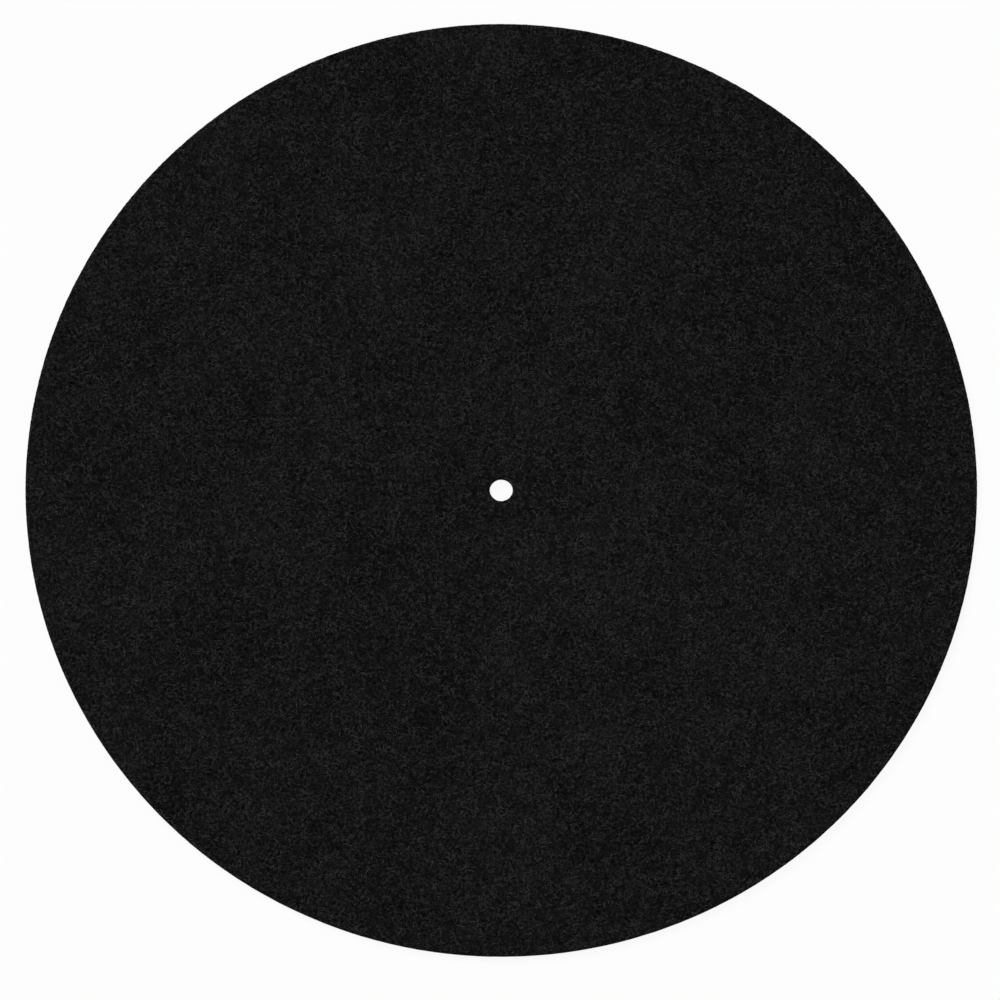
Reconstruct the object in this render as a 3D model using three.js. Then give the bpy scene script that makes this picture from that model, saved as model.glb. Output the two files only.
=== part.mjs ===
// A turntable platter mat: one round pad of pressed wool felt, cut from sheet with a steel-rule die.
// It lies on the platter under the record, and its middle hole drops over the spindle.
// Millimetres, +Z up. The origin is on the spindle's axis, at the underside that lies on the platter.
import * as THREE from "three";

const matDiameter = 295;
const feltThickness = 3;
const spindleHoleDiameter = 7.2;

// The die's knives press the felt in before they cut it, so the edges on the side they enter, the top,
// are drawn down further than the edges on the side they leave.
const rimTopRounding = 0.7;
const rimBottomRounding = 0.4;
const holeTopRounding = 0.5;
const holeBottomRounding = 0.3;

// How finely the round forms are faceted: flats round the mat, and steps along each rounded edge.
const flatsRound = 192;
const stepsPerRounding = 3;

// Black wool, nearly without gloss.
const feltColour = 0x171717;
const feltRoughness = 0.95;

// Points along a quarter circle of the section, in the plane of radius and height.
function quarterArc(centreRadius, centreHeight, rounding, startAngle) {
  const points = [];
  for (let step = 0; step <= stepsPerRounding; step++) {
    const angle = startAngle + (step / stepsPerRounding) * (Math.PI / 2);
    points.push(
      new THREE.Vector2(
        centreRadius + rounding * Math.cos(angle),
        centreHeight + rounding * Math.sin(angle),
      ),
    );
  }
  return points;
}

// Two roundings that share one cut wall, each shortened alike where the wall is too thin for both.
function fitToWall(topRounding, bottomRounding) {
  const share = Math.min(1, (0.9 * feltThickness) / (topRounding + bottomRounding));
  return { top: topRounding * share, bottom: bottomRounding * share };
}

// The section through the mat from the hole's wall to the rim, closed on itself: along the underside,
// up the rim, back over the playing side and down the hole.
function matSection() {
  const rimRadius = matDiameter / 2;
  const holeRadius = spindleHoleDiameter / 2;
  const rim = fitToWall(rimTopRounding, rimBottomRounding);
  const hole = fitToWall(holeTopRounding, holeBottomRounding);
  const section = [
    ...quarterArc(rimRadius - rim.bottom, rim.bottom, rim.bottom, -Math.PI / 2),
    ...quarterArc(rimRadius - rim.top, feltThickness - rim.top, rim.top, 0),
    ...quarterArc(holeRadius + hole.top, feltThickness - hole.top, hole.top, Math.PI / 2),
    ...quarterArc(holeRadius + hole.bottom, hole.bottom, hole.bottom, Math.PI),
  ];
  section.push(section[0].clone());
  return section;
}

// The whole mat is that section turned once round the spindle's axis.
function makePlatterMat() {
  const geometry = new THREE.LatheGeometry(matSection(), flatsRound);
  geometry.rotateX(Math.PI / 2);
  const felt = new THREE.MeshStandardMaterial({
    color: feltColour,
    roughness: feltRoughness,
    metalness: 0,
  });
  const mat = new THREE.Mesh(geometry, felt);
  mat.name = "platter_mat";
  return mat;
}

const turntableMat = new THREE.Group();
turntableMat.add(makePlatterMat());

export default turntableMat;
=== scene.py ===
"""A round turntable mat of black pressed felt, lying flat on a pale floor and seen from above."""
import math

import bpy
import numpy as np
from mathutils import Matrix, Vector, noise


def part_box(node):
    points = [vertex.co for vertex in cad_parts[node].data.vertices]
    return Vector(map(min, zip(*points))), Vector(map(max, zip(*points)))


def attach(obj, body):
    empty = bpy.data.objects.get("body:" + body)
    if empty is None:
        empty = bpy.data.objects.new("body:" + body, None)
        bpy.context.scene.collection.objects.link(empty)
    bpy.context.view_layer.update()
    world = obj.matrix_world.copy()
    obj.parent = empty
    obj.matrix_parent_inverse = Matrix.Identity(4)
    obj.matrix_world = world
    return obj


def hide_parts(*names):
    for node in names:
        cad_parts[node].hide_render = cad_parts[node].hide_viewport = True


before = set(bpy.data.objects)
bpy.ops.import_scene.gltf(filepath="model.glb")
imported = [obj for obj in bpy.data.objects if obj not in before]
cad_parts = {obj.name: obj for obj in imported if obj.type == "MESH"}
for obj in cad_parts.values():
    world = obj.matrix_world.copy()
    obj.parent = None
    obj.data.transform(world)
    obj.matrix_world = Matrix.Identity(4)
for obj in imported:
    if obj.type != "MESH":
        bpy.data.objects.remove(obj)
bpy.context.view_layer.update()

MM = 0.001

# The mat, from the frame. The hole and the roundings of its cut edges repeat the part's own sizes.
NODE = "platter_mat"
BODY = "root"
node_low, node_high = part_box(NODE)
RIM_RADIUS = (node_high.x - node_low.x) / 2
THICKNESS = node_high.z - node_low.z
HOLE_RADIUS = 3.6 * MM
RIM_TOP_ROUNDING = 0.7 * MM
RIM_BOTTOM_ROUNDING = 0.4 * MM
HOLE_TOP_ROUNDING = 0.5 * MM
HOLE_BOTTOM_ROUNDING = 0.3 * MM

# How closely the felt is meshed: distance between vertices on its faces and cut edges, and steps along
# the section's roundings and cut walls
TOP_PITCH = 1.06 * MM
UNDERSIDE_PITCH = 2.4 * MM
RIM_PITCH = 0.7 * MM
HOLE_PITCH = 0.32 * MM
ROUNDING_STEPS = 3
WALL_STEPS = 4
FEWEST_ROUND = 24

# Vertices are moved by up to this share of the pitch, so that no rows show, where the surface faces
# straight up or down nearly fully
JITTER = 0.22
LEVEL = 0.99
MAT_SEED = 3

# Relief of the felt as (size across, height): slow waves, lumps and small clumps of wool, set apart in
# the noise so that they don't line up. Its mean lies a little under the part's top, which the fibres
# reach. Where the knife cut, less of it is left.
RELIEF = ((46 * MM, 0.12 * MM), (7 * MM, 0.07 * MM), (2.4 * MM, 0.11 * MM))
RELIEF_SHIFT = 11.3
NAP_DEPTH = 0.12 * MM
CUT_RELIEF = 0.3

# Fibres that lie in the surface: their usual size, how high their middles arch out of it and how deep
# their ends sink in. Lengths spread about the usual one up to LONGEST times it. Arches and widths are
# drawn between two shares of the usual ones. The curl is in radians from end to end.
FIBRE_LENGTH = 1.3 * MM
LENGTH_SPREAD = 0.35
LONGEST = 1.8
FIBRE_HALF_WIDTH = 0.16 * MM
WIDTH_SHARES = (0.6, 1.3)
FIBRE_ARCH = 0.10 * MM
ARCH_SHARES = (0.3, 1.6)
FIBRE_SINK = 0.04 * MM
FIBRE_CURL = 1.5

# A fibre's mesh: rings of three corners, a ridge and two flanks, that get narrower towards both tips
FIBRE_STEPS = 4
SIDES = 3
RIDGE = 0.7
FLANK = 0.3
TAPER = 0.9

# How many fibres there are. Those on the cut walls lie along them, give or take WALL_SPREAD radians, and
# keep WALL_MARGIN from the underside. On the top, GRAIN is how much they favour the X axis.
FIBRES_PER_PIECE = 9400
TOP_FIBRE_PIECES = 4
RIM_FIBRES = 4500
RIM_SEED = 11
HOLE_FIBRES = 90
HOLE_SEED = 12
WALL_MARGIN = 0.9 * MM
WALL_SPREAD = 0.3
GRAIN = 0.08

# Where the two sides lie in the unit square of the map for baking: centre along both axes, and radius.
# Each fibre has a cell of that square to itself, less a margin. In the map of the wool's pattern, in
# millimetres, the underside lies UNDERSIDE_SHIFT away from the top.
TOP_ISLAND = (0.425, 0.42)
UNDERSIDE_ISLAND = (0.837, 0.158)
CELL_MARGIN = 0.1
UNDERSIDE_SHIFT = 400

# Flecks of wool in the felt's surface, lighter partly as painted highlights where fibres catch the
# light, as (size of a cell, shift, half width), all in mm. The rest are shares: the curl's least and
# most, the solid core of the width, where along the cell the ends fade, and the level of the faintest
# fleck.
FLECKS_AND_HIGHLIGHTS = (
    (1.2, (3, 5, 0), 0.26),
    (1.4, (31, 17, 0), 0.28),
    (1.65, (-23, 41, 0), 0.31),
    (1.1, (57, -13, 0), 0.24),
)
FLECK_CURL = (-0.6, 1.8)
FLECK_CORE = 0.2
FLECK_ENDS = (0.25, 0.62)
FAINTEST_FLECK = 0.1

# Noise in the felt as (lumps to a millimetre, detail, roughness, shift)
FINE = (0.88, 1.0, 0.4, (0, 0, 0))
CLUSTERS = (0.35, 1.0, 0.5, (8, 1, 4))
LIVELINESS = (0.17, 1.0, 0.5, (2, 9, 6))
PATCHES = (0.09, 3.0, 0.6, (5, 9, 2))
BROAD = (0.034, 1.0, 0.5, (3, 4, 8))

# How much the flecks count where they are sparse and where they cluster, and the nap, with its painted
# shade and highlights, where it is quiet and where it is lively, as (noise from, noise to, share at the
# first, share at the second)
CLUSTER_RANGE = (0.3, 0.65, 0.36, 1.1)
LIVELY_RANGE = (0.3, 0.7, 0.65, 1.3)

# What goes into the felt's tone. The nap is fine noise and flecks, and is about 0 on average; where it
# is low it paints shade into the pits, and where it is high it paints highlights onto the flecks.
FINE_SHARE = 0.57
FLECK_AND_HIGHLIGHT_SHARE = 0.575
NAP_LIGHT_AND_SHADE_MEAN = 0.43
PATCH_SHARE = 0.14
BROAD_SHARE = 0.165
TONE_BASE = 0.26

# The wool's colours as (tone, level), its finish, and its bumps as (depth, strength). The felt's darkest
# colours are partly painted shade in its pits, and its lightest partly painted highlights on its flecks.
FELT_TONES_AND_SHADING = ((0.1, 0.0003), (0.35, 0.0045), (0.9, 0.0252))
FIBRE_TONES = ((0.0, 0.0036), (0.55, 0.0114), (1.0, 0.0455))
WOOL_ROUGHNESS = 0.95
WOOL_GLOSS = 0.03
FELT_BUMPS = (0.15 * MM, 0.7)
FIBRE_BUMPS = (0.03 * MM, 0.4)
SCUFFS_TO_A_METRE = 4 / MM

# The photograph's frame in pixels: its side, and the mat's outline in it. The camera that gives the
# same outline is tilted from straight above.
FRAME_SIDE = 1000
OUTLINE_WIDTH = 951.35
OUTLINE_CENTRE = (501.27, 490.34)
CAMERA_TILT = math.radians(11.68)
CAMERA_DISTANCE = 1.5

# The studio: a large floor just under the mat, the share of it that shows as a plain glow and how bright
# that is, the backdrop's brightness, and the two lights, even light from the sky and a broad key lamp
FLOOR_SIDE = 6.0
FLOOR_DEPTH = 0.02 * MM
FLOOR_COLOUR = (0.9, 0.9, 0.9, 1)
FLOOR_GLOW = 0.93
FLOOR_SHINE = 0.989
BACKDROP = 0.982
SKY_STRENGTH = 0.45
KEY_FROM = (-0.7, 0.9, 1.3)
KEY_SPREAD = math.radians(30)
KEY_STRENGTH = 2.34


def relief(x, y, z):
    """How far the felt stands out of its mean surface at a point."""
    height = 0.0
    for number, (size, amplitude) in enumerate(RELIEF):
        place = Vector((x / size + RELIEF_SHIFT * number, y / size, z / size))
        height += amplitude * noise.noise(place)
    return height


def reliefs(points):
    """The relief at each point of an array."""
    heights = [relief(*point) for point in points.reshape(-1, 3).tolist()]
    return np.array(heights).reshape(points.shape[:-1])


def uncut(upward):
    """The share of relief and of a fibre's height that the knife left: all of it on the level faces."""
    return CUT_RELIEF + (1 - CUT_RELIEF) * np.abs(upward)


def stand_out(points, upward):
    """How far the felt's surface stands out of the part's, at points where that faces upward so much."""
    return uncut(upward) * reliefs(points) - NAP_DEPTH * np.maximum(upward, 0)


def arc(centre_radius, centre_height, rounding, start, pitch):
    """A quarter circle of the section, as points of (radius, height, pitch)."""
    points = []
    for step in range(ROUNDING_STEPS + 1):
        angle = start + step / ROUNDING_STEPS * math.pi / 2
        radius = centre_radius + rounding * math.cos(angle)
        points.append((radius, centre_height + rounding * math.sin(angle), pitch))
    return points


def between(start, end, steps, pitch):
    """The points of a straight stretch of the section, without its two ends."""
    shares = [step / steps for step in range(1, steps)]
    return [
        (start[0] + (end[0] - start[0]) * share, start[1] + (end[1] - start[1]) * share, pitch)
        for share in shares
    ]


def mat_section():
    """The section's shown part, up the rim, over the top and down the hole, and then its underside."""
    low, high = RIM_BOTTOM_ROUNDING, RIM_TOP_ROUNDING
    rim_low = arc(RIM_RADIUS - low, low, low, -math.pi / 2, RIM_PITCH)
    rim_high = arc(RIM_RADIUS - high, THICKNESS - high, high, 0, RIM_PITCH)
    low, high = HOLE_BOTTOM_ROUNDING, HOLE_TOP_ROUNDING
    hole_high = arc(HOLE_RADIUS + high, THICKNESS - high, high, math.pi / 2, HOLE_PITCH)
    hole_low = arc(HOLE_RADIUS + low, low, low, math.pi, HOLE_PITCH)
    span = RIM_RADIUS - HOLE_RADIUS
    shown = [
        *rim_low,
        *between(rim_low[-1], rim_high[0], WALL_STEPS, RIM_PITCH),
        *rim_high,
        *between(rim_high[-1], hole_high[0], round(span / TOP_PITCH), TOP_PITCH),
        *hole_high,
        *between(hole_high[-1], hole_low[0], WALL_STEPS, HOLE_PITCH),
        *hole_low,
    ]
    underside = between(hole_low[-1], rim_low[0], round(span / UNDERSIDE_PITCH), UNDERSIDE_PITCH)
    return np.array(shown), np.array(underside)


def headings(section):
    """The section's direction at each of its points."""
    ahead, behind = np.roll(section, -1, 0), np.roll(section, 1, 0)
    along = ahead[:, :2] - behind[:, :2]
    return along / np.linalg.norm(along, axis=1)[:, None]


def folded_out(shown):
    """How far from the axis each point would be with both cut walls folded out flat round the top."""
    steps = np.linalg.norm(np.diff(shown[:, :2], axis=0), axis=1)
    walked = np.concatenate([[0], np.cumsum(steps)])
    middle = len(shown) // 2
    return shown[middle, 0] + walked[middle] - walked


SHOWN, UNDERSIDE = mat_section()
SECTION = np.concatenate([SHOWN, UNDERSIDE])
ALONG = headings(SECTION)
REACH = folded_out(SHOWN)


def zipped(first, count, next_first, next_count):
    """The triangles between two rings of vertices, which may differ in number."""
    middles = (np.arange(count) + 0.5) / count
    next_middles = (np.arange(next_count) + 0.5) / next_count
    edge, next_edge = np.arange(count), np.arange(next_count)
    across = np.searchsorted(next_middles, middles) % next_count
    back = np.searchsorted(middles, next_middles, side="right") % count
    mine = (first + edge, first + (edge + 1) % count, next_first + across)
    others = (next_first + (next_edge + 1) % next_count, next_first + next_edge, first + back)
    return np.concatenate([np.stack(mine, 1), np.stack(others, 1)])


def new_piece(name, vertices, triangles, material):
    """A smooth object of triangles."""
    mesh = bpy.data.meshes.new(name)
    mesh.from_pydata(vertices.tolist(), [], triangles.tolist())
    mesh.polygons.foreach_set("use_smooth", np.ones(len(mesh.polygons), bool))
    mesh.materials.append(material)
    piece = bpy.data.objects.new(name, mesh)
    bpy.context.scene.collection.objects.link(piece)
    return piece


def add_map(piece, name, places):
    """Gives a piece a map, from a place for each corner of its triangles."""
    layer = piece.data.uv_layers.new(name=name)
    layer.uv.foreach_set("vector", places.astype(np.float32).ravel())


def mat_triangles(counts):
    """The triangles of the turned section with so many vertices in each row, and which are below."""
    rows = len(counts)
    firsts = np.concatenate([[0], np.cumsum(counts)[:-1]])
    bands = []
    for row in range(rows):
        following = row + 1 - rows
        bands.append(zipped(firsts[row], counts[row], firsts[following], counts[following]))
    below = np.repeat(np.arange(rows) >= len(SHOWN) - 1, [len(band) for band in bands])
    return np.concatenate(bands), below[:, None, None]


def make_mat(material):
    """The felt itself: its section turned round the spindle's axis, with the relief of pressed wool."""
    draw = np.random.RandomState(MAT_SEED)
    rounds = 2 * math.pi * SECTION[:, 0] / SECTION[:, 2]
    counts = np.maximum(FEWEST_ROUND, np.round(rounds)).astype(int)
    row = np.repeat(np.arange(len(counts)), counts)
    turn = np.concatenate([np.arange(count) / count for count in counts])
    outward, upward = ALONG[row, 1], -ALONG[row, 0]
    loose = (np.abs(upward) > LEVEL) * JITTER * SECTION[row, 2]
    nudge = loose * draw.uniform(-1, 1, len(row))
    radius = SECTION[row, 0] + nudge
    angle = 2 * math.pi * turn + loose * draw.uniform(-1, 1, len(row)) / radius
    facing = np.stack([np.cos(angle), np.sin(angle)], 1)
    stand = stand_out(np.column_stack([facing * radius[:, None], SECTION[row, 1]]), upward)
    height = np.maximum(SECTION[row, 1] + stand * upward, 0)
    vertices = np.column_stack([facing * (radius + stand * outward)[:, None], height])
    triangles, below = mat_triangles(counts)
    mat = new_piece("felt_mat", vertices, triangles, material)
    reach = np.concatenate([REACH, UNDERSIDE[:, 0]])[row] + nudge
    top, underside = facing * reach[:, None], facing * radius[:, None]
    add_mat_maps(mat, below, top[triangles], underside[triangles])
    return mat


def add_mat_maps(mat, below, top, underside):
    """The mat's two maps: one in millimetres for the pattern of the wool, and one for baking. Both take
    the underside as it lies, and the rest folded out flat."""
    add_map(mat, "felt", np.where(below, underside / MM + UNDERSIDE_SHIFT, top / MM))
    top_island = TOP_ISLAND[0] + TOP_ISLAND[1] * top / REACH[0]
    underside_island = UNDERSIDE_ISLAND[0] + UNDERSIDE_ISLAND[1] * underside / RIM_RADIUS
    add_map(mat, "OFBake", np.where(below, underside_island, top_island))


def strand_faces():
    """One fibre's triangles, and their corners' places along and round it, both from 0 to 1."""
    last = SIDES * (FIBRE_STEPS - 1) + 1
    triangles, corners = [], []
    for side in range(SIDES):
        other = (side + 1) % SIDES
        low, middle, high = side / SIDES, (side + 0.5) / SIDES, (side + 1) / SIDES
        triangles.append((0, 1 + side, 1 + other))
        corners.append(((0, middle), (1 / FIBRE_STEPS, low), (1 / FIBRE_STEPS, high)))
        for ring in range(FIBRE_STEPS - 2):
            here, there = 1 + SIDES * ring, 1 + SIDES * (ring + 1)
            start, end = (ring + 1) / FIBRE_STEPS, (ring + 2) / FIBRE_STEPS
            triangles.append((here + side, there + side, there + other))
            corners.append(((start, low), (end, low), (end, high)))
            triangles.append((here + side, there + other, here + other))
            corners.append(((start, low), (end, high), (start, high)))
        triangles.append((last, last - SIDES + other, last - SIDES + side))
        corners.append(((1, middle), (1 - 1 / FIBRE_STEPS, high), (1 - 1 / FIBRE_STEPS, low)))
    return np.array(triangles), np.array(corners)


def strands(draw, heading):
    """Curled pointed fibres over a flat plane, each about its own middle: count, vertices, 3."""
    count = len(heading)
    joints = np.linspace(-1, 1, FIBRE_STEPS + 1)
    middles = (joints[1:] + joints[:-1]) / 2
    length = FIBRE_LENGTH * np.minimum(np.exp(LENGTH_SPREAD * draw.randn(count)), LONGEST)
    curl = FIBRE_CURL * draw.randn(count)
    course = heading[:, None] + curl[:, None] * middles / 2
    step = (length / FIBRE_STEPS)[:, None]
    path = np.zeros((count, FIBRE_STEPS + 1, 3))
    path[:, 1:, 0] = np.cumsum(step * np.cos(course), 1)
    path[:, 1:, 1] = np.cumsum(step * np.sin(course), 1)
    path[:, :, :2] -= path[:, :, :2].mean(1, keepdims=True)
    arch = FIBRE_ARCH * draw.uniform(*ARCH_SHARES, count)
    path[:, :, 2] = arch[:, None] * (1 - joints ** 2) - FIBRE_SINK
    half = FIBRE_HALF_WIDTH * draw.uniform(*WIDTH_SHARES, count)
    half = half[:, None] * np.sqrt(1 - (TAPER * joints[1:-1]) ** 2)
    facing = (heading[:, None] + curl[:, None] * joints / 2)[:, 1:-1]
    across = np.stack([-np.sin(facing), np.cos(facing), 0 * facing], 2) * half[:, :, None]
    up = np.zeros_like(across)
    up[:, :, 2] = half
    inner = path[:, 1:-1]
    flanks = (inner + across - FLANK * up, inner - across - FLANK * up)
    rings = np.stack([inner + RIDGE * up, *flanks], 2)
    return np.concatenate([path[:, :1], rings.reshape(count, -1, 3), path[:, -1:]], 1)


def on_felt(out, around, local):
    """Lays fibres on the shown surface, folded over the edges, each about its own place there."""
    out = out[:, None] + local[:, :, 0]
    columns = (SHOWN[:, 0], SHOWN[:, 1], ALONG[: len(SHOWN), 1], -ALONG[: len(SHOWN), 0])
    radius, height, outward, upward = (np.interp(out, REACH[::-1], column[::-1]) for column in columns)
    angle = around[:, None] + local[:, :, 1] / radius
    facing = np.stack([np.cos(angle), np.sin(angle)], 2)
    surface = np.concatenate([facing * radius[:, :, None], height[:, :, None]], 2)
    lift = stand_out(surface, upward) + uncut(upward) * local[:, :, 2]
    normal = np.concatenate([facing * outward[:, :, None], upward[:, :, None]], 2)
    vertices = surface + normal * lift[:, :, None]
    vertices[:, :, 2] = np.maximum(vertices[:, :, 2], 0)
    return vertices


def make_fibres(name, seed, count, low, high, on_wall, material):
    """Fibres of wool between two distances out. On a cut wall they lie along it, and on the top they
    lie all ways, more of them along the grain of the wool, which is the X axis."""
    draw = np.random.RandomState(seed)
    out = np.sqrt(draw.uniform(low ** 2, high ** 2, count))
    around = draw.uniform(0, 2 * math.pi, count)
    turn = draw.uniform(0, 2 * math.pi, count)
    heading = turn - GRAIN * np.sin(2 * turn) - around
    if on_wall:
        heading = math.pi / 2 + WALL_SPREAD * draw.randn(count)
    vertices = on_felt(out, around, strands(draw, heading))
    each = vertices.shape[1]
    triangles, corners = strand_faces()
    every = triangles[None] + each * np.arange(count)[:, None, None]
    piece = new_piece(name, vertices.reshape(-1, 3), every.reshape(-1, 3), material)
    tone = piece.data.attributes.new("tone", "FLOAT", "POINT")
    tone.data.foreach_set("value", np.repeat(draw.uniform(0, 1, count), each))
    side = math.ceil(math.sqrt(count))
    cell = np.stack([np.arange(count) % side, np.arange(count) // side], 1)[:, None, None]
    add_map(piece, "OFBake", (cell + CELL_MARGIN + (1 - 2 * CELL_MARGIN) * corners) / side)
    return piece


def new_tree(name):
    """A new material and its empty node tree."""
    material = bpy.data.materials.new(name)
    material.use_nodes = True
    material.node_tree.nodes.clear()
    return material, material.node_tree


def node(tree, kind, inputs=(), **settings):
    """Adds a node. An input may be a value or another node's output."""
    made = tree.nodes.new(kind)
    for key, value in settings.items():
        setattr(made, key, value)
    for key, value in dict(inputs).items():
        if isinstance(value, bpy.types.NodeSocket):
            tree.links.new(value, made.inputs[key])
        else:
            made.inputs[key].default_value = value
    return made


def maths(tree, operation, first, second=0.0, third=0.0):
    """The result of one sum on numbers."""
    return node(tree, "ShaderNodeMath", {0: first, 1: second, 2: third}, operation=operation).outputs[0]


def shifted(tree, place, shift):
    """A place moved by a fixed step."""
    return node(tree, "ShaderNodeVectorMath", {0: place, 1: shift}, operation="ADD").outputs[0]


def noise_at(tree, place, scale, detail, roughness=0.5, shift=(0, 0, 0)):
    """Soft noise from 0 to 1, scale lumps to a unit of the place's map."""
    settings = {
        "Vector": shifted(tree, place, shift),
        "Scale": scale,
        "Detail": detail,
        "Roughness": roughness,
    }
    return node(tree, "ShaderNodeTexNoise", settings).outputs["Fac"]


def fitted(tree, value, low, high, to_low, to_high, interpolation="LINEAR"):
    """A value taken from one range to another and held inside it."""
    settings = {"Value": value, "From Min": low, "From Max": high, "To Min": to_low, "To Max": to_high}
    return node(tree, "ShaderNodeMapRange", settings, interpolation_type=interpolation).outputs[0]


def ramped(tree, value, stops):
    """A grey from a ramp with stops as (position, level)."""
    ramp = node(tree, "ShaderNodeValToRGB", {"Fac": value})
    elements = ramp.color_ramp.elements
    while len(elements) < len(stops):
        elements.new(0.5)
    for element, (position, level) in zip(elements, stops):
        element.position = position
        element.color = (level, level, level, 1)
    return ramp.outputs["Color"]


def wool(tree, colour, height, distance, strength):
    """The surface of dry black wool, nearly without gloss, with its bumps."""
    bump = node(tree, "ShaderNodeBump", {"Height": height, "Distance": distance, "Strength": strength})
    shader = node(tree, "ShaderNodeBsdfPrincipled", {
        "Base Color": colour,
        "Roughness": WOOL_ROUGHNESS,
        "Specular IOR Level": WOOL_GLOSS,
        "Normal": bump.outputs["Normal"],
    })
    node(tree, "ShaderNodeOutputMaterial", {"Surface": shader.outputs[0]})


def fleck_and_highlight_layer(tree, place, size, shift, half_width):
    """Short curled flecks of wool, one to a cell about size across: 1 along its middle, 0 off it. Their
    lightness is partly a painted highlight where fibres catch the light.
    """
    moved = shifted(tree, place, shift)
    settings = {"Vector": moved, "Scale": 1 / size}
    cell = node(tree, "ShaderNodeTexVoronoi", settings, voronoi_dimensions="2D")
    middle = cell.outputs["Position"]
    away = node(tree, "ShaderNodeVectorMath", {0: moved, 1: middle}, operation="SUBTRACT").outputs[0]
    chance = node(tree, "ShaderNodeSeparateColor", {0: cell.outputs["Color"]}).outputs
    turn = maths(tree, "MULTIPLY", chance[0], 2 * math.pi)
    favour = maths(tree, "SINE", maths(tree, "MULTIPLY", turn, 2))
    turn = maths(tree, "MULTIPLY_ADD", favour, -GRAIN, turn)
    settings = {"Vector": away, "Angle": turn}
    turned = node(tree, "ShaderNodeVectorRotate", settings, rotation_type="Z_AXIS").outputs[0]
    along, across, _ = node(tree, "ShaderNodeSeparateXYZ", {0: turned}).outputs
    least, most = FLECK_CURL
    curl = maths(tree, "MULTIPLY_ADD", chance[1], (most - least) / size, least / size)
    bow = maths(tree, "MULTIPLY", maths(tree, "MULTIPLY", along, along), curl)
    off = maths(tree, "ABSOLUTE", maths(tree, "SUBTRACT", across, bow))
    body = fitted(tree, off, FLECK_CORE * half_width, half_width, 1, 0, "SMOOTHSTEP")
    start, end = FLECK_ENDS
    ends = fitted(tree, maths(tree, "ABSOLUTE", along), start * size, end * size, 1, 0, "SMOOTHSTEP")
    level = maths(tree, "MULTIPLY_ADD", chance[2], 1 - FAINTEST_FLECK, FAINTEST_FLECK)
    return maths(tree, "MULTIPLY", maths(tree, "MULTIPLY", body, ends), level)


def felt_material():
    """Black wool felt: flecks of curled wool in loose clusters, dark pits and slow uneven patches. The
    pits are darker partly as painted shade in the hollows, and the flecks lighter partly as painted
    highlights.
    """
    material, tree = new_tree("black_felt")
    place = node(tree, "ShaderNodeUVMap", uv_map="felt").outputs["UV"]
    # The flecks are lighter partly as painted highlights where fibres catch the light
    flecks_and_highlights = 0.0
    for size, shift, half_width in FLECKS_AND_HIGHLIGHTS:
        layer = fleck_and_highlight_layer(tree, place, size, shift, half_width)
        flecks_and_highlights = maths(tree, "MAXIMUM", flecks_and_highlights, layer)
    clusters = fitted(tree, noise_at(tree, place, *CLUSTERS), *CLUSTER_RANGE)
    flecks_and_highlights = maths(tree, "MULTIPLY", flecks_and_highlights, clusters)
    nap_light_and_shade = maths(tree, "MULTIPLY_ADD", noise_at(tree, place, *FINE), FINE_SHARE, -NAP_LIGHT_AND_SHADE_MEAN)
    nap_light_and_shade = maths(tree, "MULTIPLY_ADD", flecks_and_highlights, FLECK_AND_HIGHLIGHT_SHARE, nap_light_and_shade)
    liveliness = fitted(tree, noise_at(tree, place, *LIVELINESS), *LIVELY_RANGE)
    tone = maths(tree, "MULTIPLY_ADD", noise_at(tree, place, *PATCHES), PATCH_SHARE, TONE_BASE)
    tone = maths(tree, "MULTIPLY_ADD", noise_at(tree, place, *BROAD), BROAD_SHARE, tone)
    tone = maths(tree, "MULTIPLY_ADD", nap_light_and_shade, liveliness, tone)
    # The felt's colour paints shade in its pits and highlights on its flecks, besides the wool's own
    # near-black tone
    wool(tree, ramped(tree, tone, FELT_TONES_AND_SHADING), tone, *FELT_BUMPS)
    return material


def fibre_material():
    """Single fibres of the same wool, each with its own tone."""
    material, tree = new_tree("black_wool_fibre")
    tone = node(tree, "ShaderNodeAttribute", attribute_name="tone").outputs["Fac"]
    place = node(tree, "ShaderNodeTexCoord").outputs["Object"]
    scuffs = noise_at(tree, place, SCUFFS_TO_A_METRE, 1.0)
    wool(tree, ramped(tree, tone, FIBRE_TONES), scuffs, *FIBRE_BUMPS)
    return material


def shows_backdrop(tree):
    """1 for the rays that show the studio white: those of the camera, of gloss and of glass."""
    rays = node(tree, "ShaderNodeLightPath").outputs
    mirrored = maths(tree, "MAXIMUM", rays["Is Glossy Ray"], rays["Is Transmission Ray"])
    return maths(tree, "MAXIMUM", rays["Is Camera Ray"], mirrored)


def floor_material():
    """A pale floor that shows nearly white to the camera, gloss and glass, and keeps the shadow."""
    material, tree = new_tree("pale_floor")
    matt = node(tree, "ShaderNodeBsdfDiffuse", {"Color": FLOOR_COLOUR})
    glow = node(tree, "ShaderNodeEmission", {"Strength": FLOOR_SHINE})
    share = maths(tree, "MULTIPLY", shows_backdrop(tree), FLOOR_GLOW)
    mixed = node(tree, "ShaderNodeMixShader", {0: share, 1: matt.outputs[0], 2: glow.outputs[0]})
    node(tree, "ShaderNodeOutputMaterial", {"Surface": mixed.outputs[0]})
    return material


def make_floor():
    """The floor that the mat lies on, just under it."""
    side = FLOOR_SIDE / 2
    corners = np.array([(-side, -side), (side, -side), (side, side), (-side, side)])
    vertices = np.column_stack([corners, np.full(4, -FLOOR_DEPTH)])
    triangles = np.array([(0, 1, 2), (0, 2, 3)])
    return new_piece("floor", vertices, triangles, floor_material())


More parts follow.
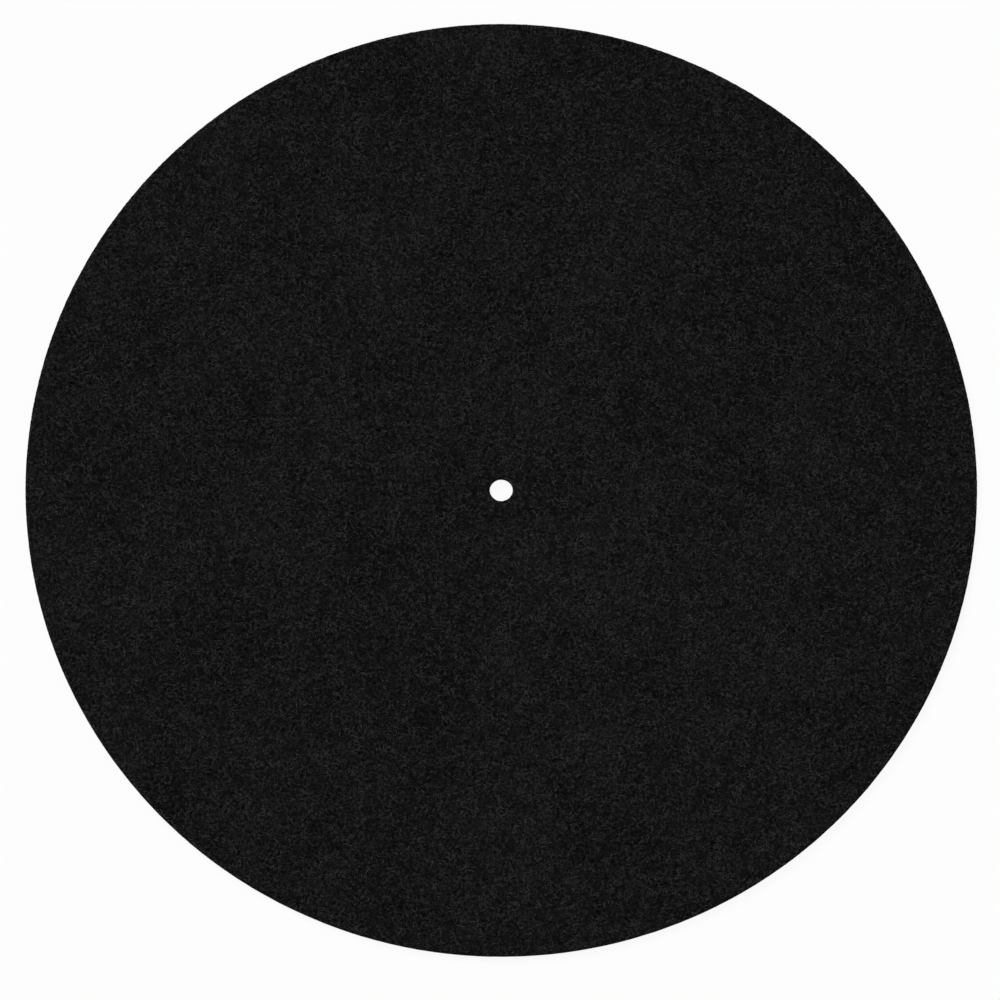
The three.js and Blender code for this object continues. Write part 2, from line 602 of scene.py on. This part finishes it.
def make_sky():
    """Even light from all round, which the camera, gloss and glass see as a pale backdrop."""
    world = bpy.data.worlds.new("studio")
    bpy.context.scene.world = world
    world.use_nodes = True
    tree = world.node_tree
    tree.nodes.clear()
    glow = BACKDROP - SKY_STRENGTH
    strength = maths(tree, "MULTIPLY_ADD", shows_backdrop(tree), glow, SKY_STRENGTH)
    sky = node(tree, "ShaderNodeBackground", {"Color": (1, 1, 1, 1), "Strength": strength})
    node(tree, "ShaderNodeOutputWorld", {"Surface": sky.outputs[0]})


def make_key():
    """One large soft lamp far off, over the mat's far left."""
    light = bpy.data.lights.new("key", "SUN")
    light.angle = KEY_SPREAD
    light.energy = KEY_STRENGTH
    lamp = bpy.data.objects.new("key", light)
    lamp.location = KEY_FROM
    lamp.rotation_euler = (-lamp.location).to_track_quat("-Z", "Y").to_euler()
    bpy.context.scene.collection.objects.link(lamp)


def make_camera():
    """A camera without perspective, tilted from straight above, that frames the mat as the photograph
    does."""
    pixel = 2 * RIM_RADIUS / OUTLINE_WIDTH
    up = Vector((0, math.cos(CAMERA_TILT), math.sin(CAMERA_TILT)))
    back = Vector((0, -math.sin(CAMERA_TILT), math.cos(CAMERA_TILT)))
    right_of_middle = (OUTLINE_CENTRE[0] - FRAME_SIDE / 2) * pixel
    above_middle = (FRAME_SIDE / 2 - OUTLINE_CENTRE[1]) * pixel
    centre = Vector((0, 0, THICKNESS / 2)) - Vector((right_of_middle, 0, 0)) - up * above_middle
    lens = bpy.data.cameras.new("camera")
    lens.type = "ORTHO"
    lens.ortho_scale = FRAME_SIDE * pixel
    camera = bpy.data.objects.new("camera", lens)
    camera.location = centre + back * CAMERA_DISTANCE
    camera.rotation_euler = (CAMERA_TILT, 0, 0)
    bpy.context.scene.collection.objects.link(camera)
    bpy.context.scene.camera = camera


bpy.context.scene.view_settings.view_transform = "Standard"
make_camera()
make_sky()
make_key()
floor = make_floor()

mat = make_mat(felt_material())
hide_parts(NODE)

fibre = fibre_material()
pieces = [mat]
for number in range(1, TOP_FIBRE_PIECES + 1):
    name = f"felt_fibres_{number}"
    pieces.append(make_fibres(name, number, FIBRES_PER_PIECE, HOLE_RADIUS, RIM_RADIUS, False, fibre))
rim_low, rim_high = RIM_RADIUS - RIM_TOP_ROUNDING, REACH[0] - WALL_MARGIN
pieces.append(make_fibres("rim_fibres", RIM_SEED, RIM_FIBRES, rim_low, rim_high, True, fibre))
hole_low, hole_high = REACH[-1] + WALL_MARGIN, HOLE_RADIUS + HOLE_TOP_ROUNDING
pieces.append(make_fibres("hole_fibres", HOLE_SEED, HOLE_FIBRES, hole_low, hole_high, True, fibre))

for piece in pieces:
    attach(piece, BODY)
